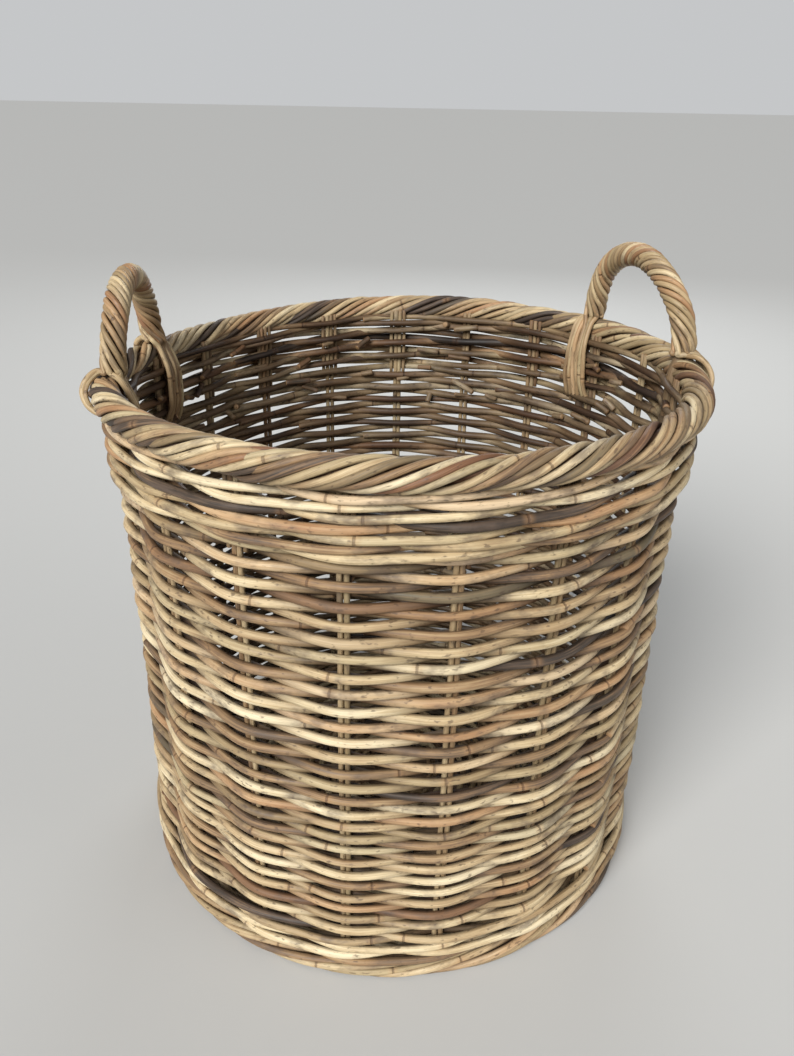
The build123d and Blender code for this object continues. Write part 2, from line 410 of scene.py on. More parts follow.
def rattan(name, lightness=0.0, contrast=1.0, roughness=0.54, grime_and_shade=1.0, lie=None):
    """Natural rattan with its skin on: streaks, nodes, brown patches, specks and cut ends. Deep in the
    weave it gets painted shade and dust, as strong as its stains.

    It reads the attributes that Rods makes. For a mesh without them, lie stretches the mesh's
    own coordinates along the wood.
    """
    n = Nodes(name)
    if lie is None:
        grain = n.attribute("grain")
        tone, second, third = (n.split(n.attribute("rod"))[i] for i in range(3))
        proud, near_end, pith = (n.split(n.attribute("place"))[i] for i in range(3))
    else:
        place = n.make("ShaderNodeTexCoord", {}).outputs["Object"]
        grain = n.scaled(place, *lie)
        tone, second, third = 0.35, 0.5, 0.5
        proud, near_end, pith = 0.3, 0.0, 0.0
    along = n.split(grain)[2]
    # slow changes of shade along the rod, and fine streaks that run with it
    patches = n.noise(grain, 30, 13, 4.0, 0.55)
    streaks = n.noise(grain, 900, 22, 4.0, 0.6)
    fine = n.noise(grain, 2600, 60, 3.0, 0.6)
    shade = n.math("ADD", n.math("MULTIPLY", tone, contrast), lightness)
    shade = n.math("ADD", shade, n.math("MULTIPLY", n.math("SUBTRACT", patches, 0.5), 1.05))
    shade = n.math("ADD", shade, n.math("MULTIPLY", n.math("SUBTRACT", streaks, 0.5), 0.8))
    colour = n.ramp(shade, RATTAN)
    # some rods lean to orange, some to a dull olive
    colour = n.mix(n.remap(second, 0.74, 1.0, 0.0, 0.36), colour, ORANGE)
    colour = n.mix(n.remap(third, 0.5, 1.0, 0.0, 0.42), colour, OLIVE)
    colour = n.mix(n.remap(fine, 0.4, 0.7, 0.0, 0.3), colour, UMBER)
    # nodes: a thin dark ring every 13 to 33 cm, in a paler band
    period = n.math("ADD", 0.13, n.math("MULTIPLY", second, 0.2))
    phase = n.math("FRACT", n.math("DIVIDE", along, period))
    off_ring = n.math("MULTIPLY", n.math("ABSOLUTE", n.math("SUBTRACT", phase, 0.5)), period)
    uneven = n.math("MULTIPLY", n.math("SUBTRACT", streaks, 0.5), RING_WAVE)
    off_ring = n.math("ADD", off_ring, uneven)
    ring = n.remap(off_ring, 0.0004, 0.0013, 1.0, 0.0)
    band = n.remap(off_ring, 0.0012, 0.006, 1.0, 0.0)
    colour = n.mix(n.math("MULTIPLY", band, 0.28), colour, NODE_BAND)
    colour = n.mix(n.math("MULTIPLY", ring, 0.55), colour, NODE_RING)
    # dark specks and weather stains
    specks = n.noise(grain, 420, 170, 2.0, 0.5)
    colour = n.mix(n.remap(specks, 0.6, 0.72, 0.0, 0.6), colour, SPECK)
    stains = n.noise(grain, 60, 28, 4.0, 0.65)
    colour = n.mix(n.remap(stains, 0.48, 0.7, 0.0, 0.72 * grime_and_shade), colour, STAIN)
    # painted shade and dust deep in the weave and on a rod's shaded side, none where it stands proud
    # and is worn
    deep = n.remap(proud, 0.0, 0.8, 0.88 * grime_and_shade, 0.0)
    colour = n.mix(deep, colour, CREVICE_SHADE, "MULTIPLY")
    # cut ends: pith in the middle, dirt on the last few millimetres
    colour = n.mix(n.math("MULTIPLY", near_end, 0.4), colour, END_DIRT)
    colour = n.mix(n.math("MULTIPLY", pith, 0.7), colour, PITH)
    n.set(n.shader.inputs["Base Color"], colour)
    dullness = n.remap(streaks, 0.2, 0.8, roughness - 0.1, roughness + 0.18)
    n.set(n.shader.inputs["Roughness"], dullness)
    n.shader.inputs["Specular IOR Level"].default_value = 0.42
    height = n.math("ADD", n.math("MULTIPLY", streaks, 0.5), n.math("MULTIPLY", fine, 0.25))
    height = n.math("ADD", height, n.math("MULTIPLY", band, 0.5))
    height = n.math("SUBTRACT", height, n.math("MULTIPLY", ring, 1.1))
    bump = n.make("ShaderNodeBump", {"Strength": 0.75, "Distance": BUMP_DEPTH, "Height": height})
    n.set(n.shader.inputs["Normal"], bump.outputs["Normal"])
    return n.material


WALL_SKIN = rattan("rattan_wall")
WALE_SKIN = rattan("rattan_wale")
BORDER_SKIN = rattan("rattan_border", contrast=0.95, grime_and_shade=0.8)
HANDLE_SKIN = rattan("rattan_handle", lightness=0.04, contrast=0.75, roughness=0.46, grime_and_shade=0.7)
STAKE_SKIN = rattan("rattan_stake", lightness=0.02, contrast=0.8, roughness=0.6)
BASE_SKIN = rattan("rattan_base", lightness=-0.06, roughness=0.6)


# ---- woven rings ------------------------------------------------------------------------------
def tones(rng):
    """Most rods are pale, some are brown, and a few are nearly black."""
    pick = rng.uniform()
    if pick < 0.12:
        return rng.uniform(0.0, 0.14)
    if pick < 0.36:
        return rng.uniform(0.2, 0.42)
    return rng.uniform(0.48, 0.98)


def ring_point(stake, radial, z):
    """A point of the weave: a place between the stakes, a distance from their line, a height."""
    angle = FIRST_STAKE + STEP * stake
    r = stake_radius(z) + radial
    return [r * cos(angle), r * sin(angle), z]


HIDDEN_JOINS = 0.85             # how often a rod goes on until its end is inside the next stake
END_STEP, TAIL_IN = 1.3 * MM, 3.2 * MM  # how far a rod's ends step aside, and its tail inwards


def weave(rods, first, last, height_at, pattern, rod_r, spans, jitter=1.0, tilt=0.0, face=None):
    """Weaves rods round the stakes from one place of a spiral to another, end to end.

    spans bound the count of stakes that one rod passes. pattern gives, for each stake in turn,
    the distance from the stakes' line. tilt lets the outside stroke of a long pattern rise or
    sink as it goes round. face is an upright outside radius that the outside strokes keep to
    where the stakes bend away below them.
    """
    rng = rods.rng
    start = first
    while start < last:
        tone = tones(rng)
        length = int(rng.integers(*spans))
        end = start + (length if tone > 0.2 else length // 3 + 2)
        while pattern(end) > 0 and rng.uniform() < HIDDEN_JOINS:
            end += 1
        end = min(end, last)
        r = rod_r * rng.uniform(0.88, 1.1)
        stakes = np.arange(2 * start, 2 * end + 2) / 2
        knots, prouds = [], []
        level = rng.normal(0, 0.25) * MM * jitter
        for stake in stakes:
            whole = floor(stake)
            if stake == whole:
                radial = pattern(whole)
                lift = rng.normal(0, 0.55)
                push = rng.normal(0, 0.4)
            else:
                radial = (pattern(whole) + pattern(whole + 1)) / 2
                lift = rng.normal(0, 0.3)
                push = rng.normal(0, 0.25)
            z = height_at(stake) + level + lift * MM * jitter + tilt * slope_of(pattern, stake)
            if face is not None:
                share = (radial - pattern(0)) / (pattern(1) - pattern(0))
                outer = face - ROD_R - stake_radius(z)
                radial = pattern(0) + share * (outer - pattern(0))
            knots.append(ring_point(stake, radial + push * MM * jitter, z))
            # strokes behind the stakes get a low proud, and so painted shade
            prouds.append(0.5 + 0.5 * radial / PROUD_REACH)
        curve = through(knots, 6)
        proud = np.clip(through(np.array(prouds)[:, None], 6)[:, 0], 0, 1)
        # the ends lie a little apart, and are slimmer
        t = np.linspace(0, 1, len(curve))
        ends = np.exp(-t * len(curve) / 5) - np.exp(-(1 - t) * len(curve) / 5)
        curve[:, 2] += ends * END_STEP
        # the far end leaves the weave a little, towards the inside
        tail = np.exp(-(1 - t) * len(curve) / 3)
        curve[:, :2] *= (1 - TAIL_IN / FOOT_R * tail)[:, None]
        slim = 1 - 0.14 * np.abs(ends)
        rods.add(curve, r * slim, up=(0, 0, 1), flat=rng.uniform(0.92, 1.0), proud=proud, tone=tone,
                 sides=12, crevice="wall")
        start = end


def slope_of(pattern, stake):
    """How far a point is along its outside stroke: +1 where it comes out, -1 where it goes in."""
    before, after = floor(stake), ceil(stake)
    if before == after:
        before, after = before - 1, after + 1
    reach = abs(pattern(0) - pattern(1)) + abs(pattern(1) - pattern(2)) + 1e-9
    return (pattern(after) - pattern(before)) / reach


def randing(amount):
    """Over one stake, under the next."""
    return lambda stake: amount if stake % 2 == 0 else -amount


def waling(amount, inside):
    """Over two stakes, under the third."""
    return lambda stake: -inside if stake % 3 == 0 else amount


def spiral(z_low, z_high, rows, first_row):
    """Heights of a spiral that fills a band: row 0 lies half a rod above its bottom."""
    pitch = (z_high - z_low) / rows
    return lambda stake: z_low + pitch * (0.5 + (stake / STAKES - first_row))


def base_ring(rods, radius, rod_r, lift, angles, phase):
    """One row of the base: over a stick, under the next, all the way round."""
    rng = rods.rng
    count = len(angles)
    knots = []
    for i in range(count + 1):
        here = angles[i % count] + 2 * pi * (i // count)
        after = angles[(i + 1) % count] + 2 * pi * ((i + 1) // count)
        sign = 1 if (i + phase) % 2 == 0 else -1
        for angle, z in ((here, sign * lift), ((here + after) / 2, 0)):
            r = radius + rng.normal(0, 0.35) * MM
            knots.append([r * cos(angle), r * sin(angle), BASE_Z + z + rng.normal(0, 0.2) * MM])
    start = int(rng.integers(0, len(knots)))
    knots = knots[:-1]
    knots = knots[start:] + knots[:start + 1]
    rods.add(
        through(knots, 5), rod_r * rng.uniform(0.92, 1.05),
        sides=8, up=(0, 0, 1), proud=0.5, tone=tones(rng),
    )


row = 0
for course in range(1, COURSES + 1):
    node = f"weave_course_{course}"
    rows = ROWS_LOW if course <= LOW_COURSES else ROWS_HIGH
    rods = Rods(100 + course)
    rod_r = ROD_R * (1.0 if course <= LOW_COURSES else HIGH_ROD_SHARE)
    heights = spiral(low(node)[2], high(node)[2], rows, row)
    weave(rods, row * STAKES, (row + rows) * STAKES, heights, randing(RAND_REACH), rod_r, (6, 19))
    rods.piece(node + "_rods", WALL_SKIN, "wall_rods", node)
    row += rows

# top wale: long strokes, a little proud
WALE_ROWS, GAP_ROWS, UPSETT_ROWS = 10, 2, 6
WALE_TILT = -1.15 * MM          # a long stroke sinks by this each way as it goes round
STUBS = 60                      # cut ends of weavers and stakes that poke out on the inside

rods = Rods(201)
wale_out = WALE_R - ROD_R - stake_radius(WALE_TOP)
weave(
    rods, 0, WALE_ROWS * STAKES, spiral(WALE_LOW, WALE_TOP, WALE_ROWS, 0),
    waling(wale_out + 1.2 * MM, 4.6 * MM), ROD_R * 1.04, (10, 26), tilt=WALE_TILT,
)
# loose rows of plain weave fill the gap under the border
gap_heights = spiral(WALE_TOP - 1 * MM, BORDER_Z - BORDER_ROPE_R + 4 * MM, GAP_ROWS, 0)
weave(rods, 0, GAP_ROWS * STAKES, gap_heights, randing(5.0 * MM), ROD_R * 0.95, (8, 20), jitter=1.6)
for _ in range(STUBS):
    rng = rods.rng
    place, height = rng.uniform(0, STAKES), rng.uniform(WALE_LOW - 30 * MM, WALE_TOP + 2 * MM)
    angle = FIRST_STAKE + STEP * place
    inner = stake_radius(height) - 5.5 * MM
    swing, climb = rng.uniform(-26, 26) * MM, rng.uniform(-9, 9) * MM
    path = []
    for share in (0, 0.35, 0.7, 1):
        r = inner - share * rng.uniform(3.5, 6.5) * MM
        turned = angle + share * swing / r
        path.append([r * cos(turned), r * sin(turned), height + share * climb])
    rods.add(through(path, 4), ROD_R * rng.uniform(0.7, 0.95), sides=8, proud=0.25, tone=tones(rng))
rods.piece("top_wale_rods", WALE_SKIN, "wall_rods", "top_wale")

# upsett band: the same stroke round the bottom corner
rods = Rods(202)
upsett_out = FOOT_R - ROD_R - stake_radius(UPSETT_TOP)
weave(
    rods, 0, UPSETT_ROWS * STAKES, spiral(UPSETT_LOW, UPSETT_TOP, UPSETT_ROWS, 0),
    waling(upsett_out, 5.5 * MM), ROD_R * 1.02, (14, 34), tilt=WALE_TILT, face=FOOT_R,
)
stake_angles = FIRST_STAKE + STEP * np.arange(STAKES)
for number, gap in enumerate((3.2, 8.6, 13.8)):
    # rows on the flat of the stakes, where the base meets the wall
    base_ring(rods, BASE_R + gap * MM, 2.8 * MM, 4.6 * MM, stake_angles, number)
rods.piece("upsett_band_rods", WALE_SKIN, "wall_rods", "upsett_band")


# ---- twisted rings: the foot and the rolled border --------------------------------------------
STRAND_STEP = 4.5 * MM          # from point to point of a strand
OVERLAP = 0.05                  # strands of one lane overlap by this angle at each end


def twisted_ring(rods, centre_r, centre_z, half_wide, half_high, strand_r, lanes, turns, spans, tuck):
    """Strands wound round a ring, each of a limited length, with its ends tucked in.

    spans are the least and the greatest angle that a strand covers.
    """
    rng = rods.rng
    for lane in range(lanes):
        start = rng.uniform(0, 2 * pi)
        finish = start + 2 * pi
        while start < finish - 0.02:
            end = min(start + rng.uniform(*spans), finish)
            count = max(12, int((end - start) * centre_r / STRAND_STEP))
            theta = np.linspace(start - OVERLAP, end + OVERLAP, count)
            phi = 2 * pi * lane / lanes + turns * theta
            phi = phi + wander(rng, theta, 0.9, 0.13) + rng.normal(0, 0.05)
            t = np.arange(len(theta))
            near = np.maximum(np.exp(-t / 4), np.exp(-(len(t) - 1 - t) / 4))
            depth = 1 - tuck * near + wander(rng, theta, 0.5, 0.045)
            out = half_wide * depth * np.cos(phi)
            rise = half_high * depth * np.sin(phi)
            r = centre_r + out
            east, north = np.cos(theta), np.sin(theta)
            path = np.stack([r * east, r * north, centre_z + rise], -1)
            away = np.stack([east * np.cos(phi), north * np.cos(phi), np.sin(phi)], -1)
            # painted shade: strands are darker on the underside of the ring and where their ends tuck
            # in
            proud = np.clip(0.75 + 0.25 * np.sin(phi) - 0.5 * near, 0, 1)
            thick = strand_r * rng.uniform(0.9, 1.08) * (1 - 0.12 * near)
            rods.add(
                path, thick, up=away, flat=rng.uniform(0.92, 1.0), proud=proud, tone=tones(rng),
                sides=12, crevice="rope",
            )
            start = end


def core_ring(rods, centre_r, centre_z, wide, tall):
    """The bundle that a twisted ring is wound round, closed on itself."""
    theta = np.linspace(0, 2 * pi, 241)
    height = np.full_like(theta, centre_z)
    path = np.stack([centre_r * np.cos(theta), centre_r * np.sin(theta), height], -1)
    # proud 0 gives the core the full painted shade, as it lies deep in the ring
    rods.add(path, wide, up=(0, 0, 1), flat=tall / wide, proud=0.0, tone=0.25)


FOOT_STRAND_R, FOOT_LANES, FOOT_TURNS = 3.0 * MM, 7, 5.0
BORDER_STRAND_R, BORDER_LANES, BORDER_TURNS = 2.7 * MM, 10, 11.0
BORDER_CORE_R = 6.6 * MM

rods = Rods(301)
foot_z = FOOT_TOP / 2
foot_inner = FOOT_R - WALL_T - 3 * MM
foot_mid = (FOOT_R + foot_inner) / 2
foot_half = (FOOT_R - foot_inner) / 2
core_ring(rods, foot_mid, foot_z, foot_half - 2 * FOOT_STRAND_R, foot_z - 1.6 * FOOT_STRAND_R)
twisted_ring(
    rods, foot_mid, foot_z + 0.3 * MM, foot_half - FOOT_STRAND_R, foot_z - FOOT_STRAND_R,
    FOOT_STRAND_R, FOOT_LANES, FOOT_TURNS, spans=(0.8, 2.2), tuck=0.25,
)
rods.piece("foot_band_rods", WALE_SKIN, "wall_rods", "foot_band")

rods = Rods(302)
winding_r = BORDER_ROPE_R - BORDER_STRAND_R
core_ring(rods, BORDER_R, BORDER_Z, BORDER_CORE_R, BORDER_CORE_R)
twisted_ring(
    rods, BORDER_R, BORDER_Z, winding_r, winding_r,
    BORDER_STRAND_R, BORDER_LANES, BORDER_TURNS, spans=(0.7, 1.6), tuck=0.4,
)
rods.piece("rolled_border_rods", BORDER_SKIN, "border_rods", "rolled_border")


# ---- stakes -----------------------------------------------------------------------------------
STAKE_TOP = BORDER_Z - 2 * MM
BYE_STAKE_LOW = 372 * MM        # the lower end of the canes that thicken the border


def stake_cane(rng, number, sidestep, insert_r=None):
    """One cane of a stake, up to the border: from a radius inside the base and round the bend,
    or with no such radius, only through the top of the wall.
    """
    angle = FIRST_STAKE + STEP * number
    radial = np.array([cos(angle), sin(angle), 0])
    tangential = np.array([-sin(angle), cos(angle), 0])
    knots = []
    straight_from = BYE_STAKE_LOW
    if insert_r is not None:
        bend_r = stake_radius(BASE_Z)
        knots = [(insert_r, BASE_Z), ((insert_r + bend_r) / 2, BASE_Z)]
        for bend in (-90, -60, -30, 0):
            a = radians(bend)
            knots.append((bend_r + UPSETT_BEND_R * cos(a), BASE_Z + UPSETT_BEND_R * (1 + sin(a))))
        straight_from = knots[-1][1] + 30 * MM
    for z in np.arange(straight_from, STAKE_TOP, 38 * MM):
        knots.append((stake_radius(z), z))
    knots.append((stake_radius(STAKE_TOP), STAKE_TOP))
    points = []
    for r, z in knots:
        drift = sidestep + rng.normal(0, 0.25) * MM
        out = r + rng.normal(0, 0.12) * MM
        points.append(radial * out + tangential * drift + np.array([0, 0, z]))
    return through(points, 5)


for number in range(STAKES):
    node = f"stake_{number + 1:02d}"
    rods = Rods(400 + number)
    lo, hi = BOXES[node]
    reach = np.array([max(abs(lo[0]), abs(hi[0])), max(abs(lo[1]), abs(hi[1]))])
    insert_r = hypot(*reach) - hypot(hi[0] - lo[0], hi[1] - lo[1]) + 4 * MM
    for sidestep in (-CANE_PITCH / 2, CANE_PITCH / 2):
        rods.add(
            stake_cane(rods.rng, number, sidestep, insert_r), CANE_R,
            sides=8, proud=0.5, tone=rods.rng.uniform(0.4, 0.95),
        )
    # thinner canes pushed in beside the pair near the top, to thicken the border
    for side in (-1, 1)[:int(rods.rng.integers(0, 3))]:
        rods.add(
            stake_cane(rods.rng, number, side * (CANE_PITCH * 1.45)), CANE_R * 0.85,
            sides=8, proud=0.45, tone=rods.rng.uniform(0.3, 0.85),
        )
    rods.piece(node + "_canes", STAKE_SKIN, "stake_canes", node)


# ---- handles ----------------------------------------------------------------------------------
HANDLE_CORE_R = 4.5 * MM
HANDLE_HALF_SPAN = 71 * MM      # from the crown to a leg, sideways
HANDLE_SPRING = 454.5 * MM      # the arch starts at this height


class Bow:
    """The line of one handle: two legs and half an ellipse, in an upright plane.

    It may lean, rise less than the CAD's, and stand further out above the border by shift.
    second_in and second_out move the second leg of the line along the border and outwards; on
    the left handle that is the rear one.
    """

    def __init__(self, side, lean, low_rise, shift, second_in, second_out):
        lo, hi = BOXES[f"{side}_handle_core"]
        self.angle = node_angle(f"{side}_handle_core")
        self.bottom, crown = lo[2], hi[2] - HANDLE_CORE_R
        self.rise = (crown - HANDLE_SPRING) * low_rise
        self.lean, self.shift = lean, shift
        self.second_in, self.second_out = second_in, second_out
        leg_r = wall_outer(BORDER_Z) - WALL_T / 2
        self.out = np.array([cos(self.angle), sin(self.angle), 0])
        self.across = np.array([-sin(self.angle), cos(self.angle), 0])
        self.origin = self.out * (leg_r ** 2 - HANDLE_HALF_SPAN ** 2) ** 0.5
        self.leg_angle = asin(HANDLE_HALF_SPAN / leg_r)

    def line(self, bottom, spacing):
        """Points from a height on one leg, over the crown, to the same height on the other."""
        span, spring = HANDLE_HALF_SPAN, HANDLE_SPRING
        leg = max(2, int((spring - bottom) / spacing))
        arch = int(pi * (span + self.rise) / 2 / spacing)
        heights = np.linspace(bottom, spring, leg, endpoint=False)
        turn = np.linspace(0, pi, arch)
        a = np.concatenate([np.full(leg, span), span * np.cos(turn), np.full(leg, -span)])
        z = np.concatenate([heights, spring + self.rise * np.sin(turn), heights[::-1]])
        free = np.clip((z - BORDER_Z + 6 * MM) / (30 * MM), 0, 1)   # 0 in the wall, 1 above it
        second = (span - a) / (2 * span)                            # 0 at one leg, 1 at the other
        away = self.shift * free * free * (3 - 2 * free)
        away = away - tan(self.lean) * np.clip(z - spring, 0, None)
        away = away + self.second_out * second * free
        a = a + self.second_in * second
        flat = self.origin + self.across * a[:, None] + self.out * away[:, None]
        return flat + np.outer(z, [0, 0, 1])


ROPE_R = 10.3 * MM
ROPE_STRANDS = 8
ROPE_STRAND_R = 2.35 * MM
ROPE_LINE_R = ROPE_R - ROPE_STRAND_R
ROPE_BOTTOM = BORDER_Z + BORDER_ROPE_R + 2 * MM
ROPE_TWIST_CROWN, ROPE_TWIST_FOOT = radians(47), radians(24)


def rope_strands(bow, rng):
    """The centre lines of the strands round a bow, twisted more at the crown than at the feet."""
    line = bow.line(ROPE_BOTTOM, 2.6 * MM)
    line = line + wander(rng, np.linspace(0, 1, len(line)), 0.5, 0.6 * MM)[:, None] * bow.out
    steps = np.linalg.norm(np.diff(line, axis=0), axis=1)
    along = np.concatenate([[0], np.cumsum(steps)])
    share = along / along[-1]
    steep = np.sin(pi * share) ** 0.7
    twist = ROPE_TWIST_FOOT + (ROPE_TWIST_CROWN - ROPE_TWIST_FOOT) * steep
    turn = -np.concatenate([[0], np.cumsum(np.tan(twist[1:]) * steps / ROPE_LINE_R)])
    tangent = unit(np.gradient(line, axis=0))
    inward = np.cross(tangent, bow.out)
    strands = []
    for number in range(ROPE_STRANDS):
        phase = 2 * pi * number / ROPE_STRANDS + turn + wander(rng, share, 0.4, 0.07)
        r = ROPE_LINE_R * (1 + wander(rng, share, 0.3, 0.03))[:, None]
        away = np.cos(phase)[:, None] * bow.out + np.sin(phase)[:, None] * inward
        strands.append((line + away * r, away))
    return strands


def border_place(angle, section, distance):
    """A point near the border: polar angle, angle round its section from outside, distance."""
    r = BORDER_R + distance * cos(section)
    return np.array([r * cos(angle), r * sin(angle), BORDER_Z + distance * sin(section)])


FAN_PITCH = 4.4 * MM            # strands side by side over the border

# angle round the border's section, millimetres along the border, millimetres off it
OUTSIDE_WAY = (
    (72, 1, 1.2), (40, 4, 1.0), (8, 8, 0.8), (-25, 12, 0.4), (-60, 16, -0.2), (-95, 20, -1.2),
    (-125, 23, -3.0),
)
# millimetres below the border's middle, millimetres in from the wall
INSIDE_WAY = ((10, 0.3), (26, 0.8), (42, 0.2), (56, -4.0), (66, -9.0))
# angle round the section, millimetres along the border, millimetres from its middle, reach or not
LOOP_WAY = (
    (100, 0, 16, 0), (70, 4, 14.2, 0), (35, 9, 13.8, 1), (0, 13, 13.6, 1), (-38, 15, 13.6, 0),
    (-75, 14, 13.8, 0), (-110, 11, 13.4, 0), (-145, 8, 12, 0),
)


def over_outside(angle, away, number, rng):
    """A strand's way over the outside of the border and back in beneath it."""
    side = number * FAN_PITCH
    bulge = BORDER_ROPE_R + ROPE_STRAND_R + 0.6 * MM
    way = []
    for section, shift, more in OUTSIDE_WAY:
        turned = angle + away * (side + (shift + rng.normal(0, 0.5)) * MM) / BORDER_R
        distance = bulge + (more + rng.normal(0, 0.25)) * MM
        way.append(border_place(turned, radians(section), distance))
    return way


def down_inside(angle, away, number, rng):
    """A strand's way down the inside of the wall, and into the weave."""
    side = number * FAN_PITCH
    bulge = BORDER_ROPE_R + ROPE_STRAND_R + 1.0 * MM
    turned = angle + away * (side * 0.8 + 0.5 * MM) / BORDER_R
    way = [border_place(turned, radians(152), bulge + rng.normal(0, 0.3) * MM)]
    for drop, inset in INSIDE_WAY:
        z = BORDER_Z - drop * MM - rng.uniform(0, 4) * MM
        r = wall_outer(z) - WALL_T - ROPE_STRAND_R - inset * MM
        turned = angle + away * (side * (0.9 + drop * 0.006) + rng.normal(0, 0.5) * MM) / BORDER_R
        way.append(np.array([r * cos(turned), r * sin(turned), z]))
    return way


def side_loop(angle, away, reach, rng):
    """A thin loop thrown round the outside of the border and back to the inside."""
    way = []
    for section, shift, far, reaches in LOOP_WAY:
        turned = angle + away * (shift + rng.normal(0, 0.4)) * MM / BORDER_R
        way.append(border_place(turned, radians(section), (far + reaches * reach) * MM))
    return way


def make_handle(side, seed, outer, loops, **shape):
    """One handle: its core, its rope and the lashings at its two feet.

    outer is how many strands go over the outside of the border, and loops how many thin loops
    there are, each at the rear foot and at the front one.
    """
    bow = Bow(side, **shape)
    core = Rods(seed)
    core.add(bow.line(bow.bottom, 6 * MM), HANDLE_CORE_R, up=bow.out, proud=0.3, tone=0.5)
    core.piece(f"{side}_handle_core_cane", STAKE_SKIN, "handle_cane", f"{side}_handle_core")
    rope = Rods(seed + 1)
    strands = rope_strands(bow, rope.rng)
    strand_tones = [rope.rng.uniform(0.5, 1.0) if i % 4 else rope.rng.uniform(0.25, 0.5)
                    for i in range(ROPE_STRANDS)]
    for (path, away), tone in zip(strands, strand_tones):
        rope.add(path, ROPE_STRAND_R, up=away, flat=0.96, proud=0.95, tone=tone, cut_ends=False,
                 sides=12, crevice="rope")
    rope.piece(f"{side}_handle_rope", HANDLE_SKIN, "handle_rods", f"{side}_handle_wrap")
    # the first leg of the line is on the +across side
    for end, order in ((0, 1), (-1, -1)):
        rear = (order > 0) == (side == "right")
        label = f"{side}_handle_{'rear' if rear else 'front'}_lashing"
        lashing = Rods(seed + (2 if rear else 3))
        rng = lashing.rng
        foot_angle = bow.angle + order * bow.leg_angle
        if order < 0:
            foot_angle += bow.second_in / BORDER_R
        # strands in order round the leg, split between the outside and the inside of the rim
        facing = []
        middle = np.mean([path[end] for path, _ in strands], axis=0)
        for (path, _), tone in zip(strands, strand_tones):
            offset = path[end] - middle
            facing.append((float(offset @ bow.out), float(offset @ bow.across) * order, path, tone))
        facing.sort(key=lambda item: -item[0])
        outside = sorted(facing[:outer[0 if rear else 1]], key=lambda item: item[1])
        inside = sorted(facing[len(outside):], key=lambda item: item[1])
        for group, route in ((outside, over_outside), (inside, down_inside)):
            for number, (_, _, path, tone) in enumerate(group):
                lead = path[:12][::-1] if end == 0 else path[-12:]
                place = number - (len(group) - 1) / 2
                way = list(lead[::4]) + [lead[-1]] + route(foot_angle, order, place, rng)
                lashing.add(through(way, 7), ROPE_STRAND_R, flat=0.92, proud=0.8, tone=tone)
        for number in range(loops[0 if rear else 1]):
            start = facing[0][2][0 if end == 0 else -1]
            way = [start] + side_loop(foot_angle - order * number * 0.03, order, 1.5 * number, rng)
            lashing.add(
                through(way, 8), ROPE_STRAND_R * 0.8, flat=0.95, proud=0.9, tone=rng.uniform(0.5, 0.8),
            )
        lashing.piece(label + "_rods", HANDLE_SKIN, "handle_rods", label)


make_handle(
    "right", 500, outer=(2, 8), loops=(0, 0),
    lean=radians(5), low_rise=1.0, shift=9 * MM, second_in=0, second_out=0,
)
make_handle(
    "left", 520, outer=(3, 2), loops=(0, 1),
    lean=radians(1), low_rise=0.94, shift=1 * MM, second_in=19 * MM, second_out=11 * MM,
)


# ---- base -------------------------------------------------------------------------------------
STICKS = 5                      # in each of the two crossed sets
STICK_END_R = 196 * MM
SHORT_END_R = 150 * MM
STICK_SIDESTEP = 11 * MM        # a stick's end lies this far beside its stake
CROSS_X = 9.3 * MM, 23.25 * MM  # sticks along x: their pitch, and where they leave the cross
CROSS_Y = 6.5 * MM, 30.25 * MM  # the same for the sticks along y
BINDING_PITCH, BASE_PITCH = 4.6 * MM, 5.9 * MM


def stick_arms():
    """Each base stick's arms: where it leaves the cross, and where it ends beside its stake."""
    arms = []
    for along_x, (pitch, corner) in ((True, CROSS_X), (False, CROSS_Y)):
        for i in range(STICKS):
            side = (i - (STICKS - 1) / 2) * pitch
            # the ends in the order of their stakes; the last end has no stake, and is short
            orders = (i, 3 * STICKS - 1 - i) if along_x else (2 * STICKS - 1 - i, 3 * STICKS + i)
            for order, sign in zip(orders, (1, -1)):
                if order < STAKES:
                    angle = FIRST_STAKE + STEP * order
                    end = STICK_END_R * np.array([cos(angle), sin(angle)])
                    end = end + STICK_SIDESTEP * np.array([-sin(angle), cos(angle)])
                else:
                    angle = FIRST_STAKE + STEP * (STAKES - 0.5)
                    end = SHORT_END_R * np.array([cos(angle), sin(angle)])
                start = np.array([sign * corner, side] if along_x else [side, sign * corner])
                arms.append((start, end))
    return arms


STICK_ARMS = stick_arms()


def stick_angles(radius):
    """Polar angles where the base sticks cross a circle round the middle."""
    found = []
    for start, end in STICK_ARMS:
        way = end - start
        a, b, c = way @ way, start @ way, start @ start - radius ** 2
        root = b * b - a * c
        if root < 0:
            continue
        share = (-b + root ** 0.5) / a
        if share <= 1.02:
            place = start + way * share
            found.append(atan2(place[1], place[0]))
    return np.sort(np.array(found))


rods = Rods(601)
binding_r = high("base_binding")[0]
for number, radius in enumerate(np.arange(35 * MM, binding_r, BINDING_PITCH)):
    base_ring(rods, radius, 2.4 * MM, 4.6 * MM, stick_angles(radius), number)
rods.piece("base_binding_rods", BASE_SKIN, "base_rods", "base_binding")

rods = Rods(602)
base_radii = np.arange(binding_r + 2.6 * MM, BASE_R - 2 * MM, BASE_PITCH)
for number, radius in enumerate(base_radii):
    base_ring(rods, radius, 2.9 * MM, 4.2 * MM, stick_angles(radius), number)
rods.piece("base_weave_rods", BASE_SKIN, "base_rods", "base_weave")

STICK_X_SKIN = rattan("stick_along_x", lightness=-0.05, roughness=0.6, lie=(0.02, 1, 1))
STICK_Y_SKIN = rattan("stick_along_y", lightness=-0.05, roughness=0.6, lie=(1, 0.02, 1))
for name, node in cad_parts.items():
    if name.startswith("base_stick_"):
        wide, deep, _ = BOXES[name][1] - BOXES[name][0]
        node.data.materials.clear()
        node.data.materials.append(STICK_X_SKIN if wide > deep else STICK_Y_SKIN)


